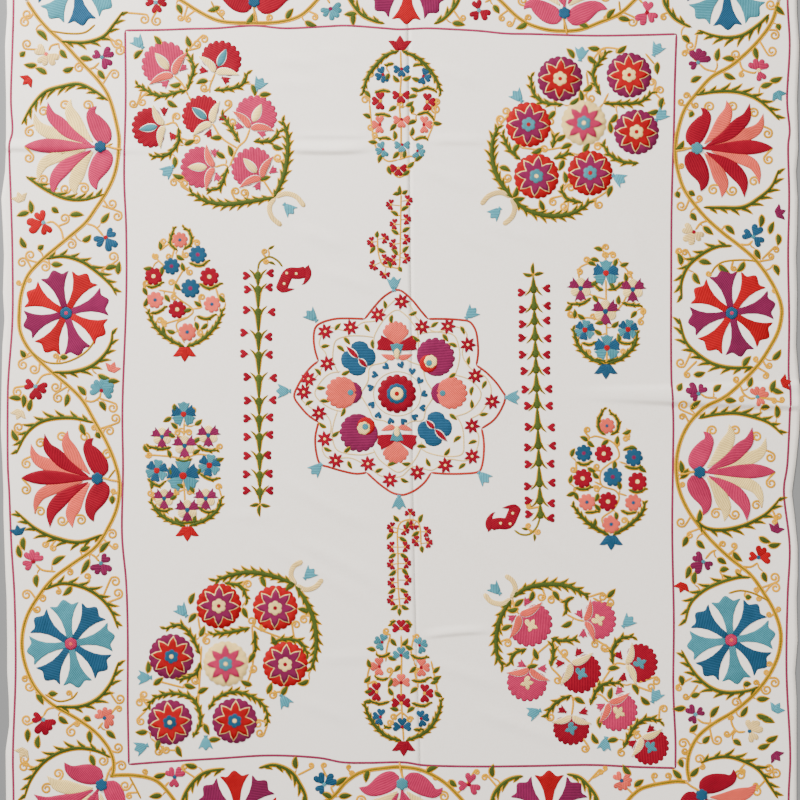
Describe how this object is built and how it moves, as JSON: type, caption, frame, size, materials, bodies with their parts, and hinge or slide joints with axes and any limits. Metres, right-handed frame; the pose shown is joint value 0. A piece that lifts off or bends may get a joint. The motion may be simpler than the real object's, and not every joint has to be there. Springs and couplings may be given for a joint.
{
  "type": "suzani embroidered textile",
  "caption": "Flat woven cotton cloth of seamed panels with soft storage creases, the ground for a suzani of flower rosettes, a star medallion and a vine border.",
  "frame": {"origin": "middle of the cloth's underside, on the surface it lies on", "axes": "+X across the width to the viewer's right, +Y up the length, +Z out of the embroidered face"},
  "size_m": [1.5178, 1.862, 0.0093],
  "materials": {
    "cloth": "matte hand-woven cotton, off-white"
  },
  "bodies": {
    "root": {"panel_left": "cloth", "panel_right": "cloth"}
  },
  "joints": []
}
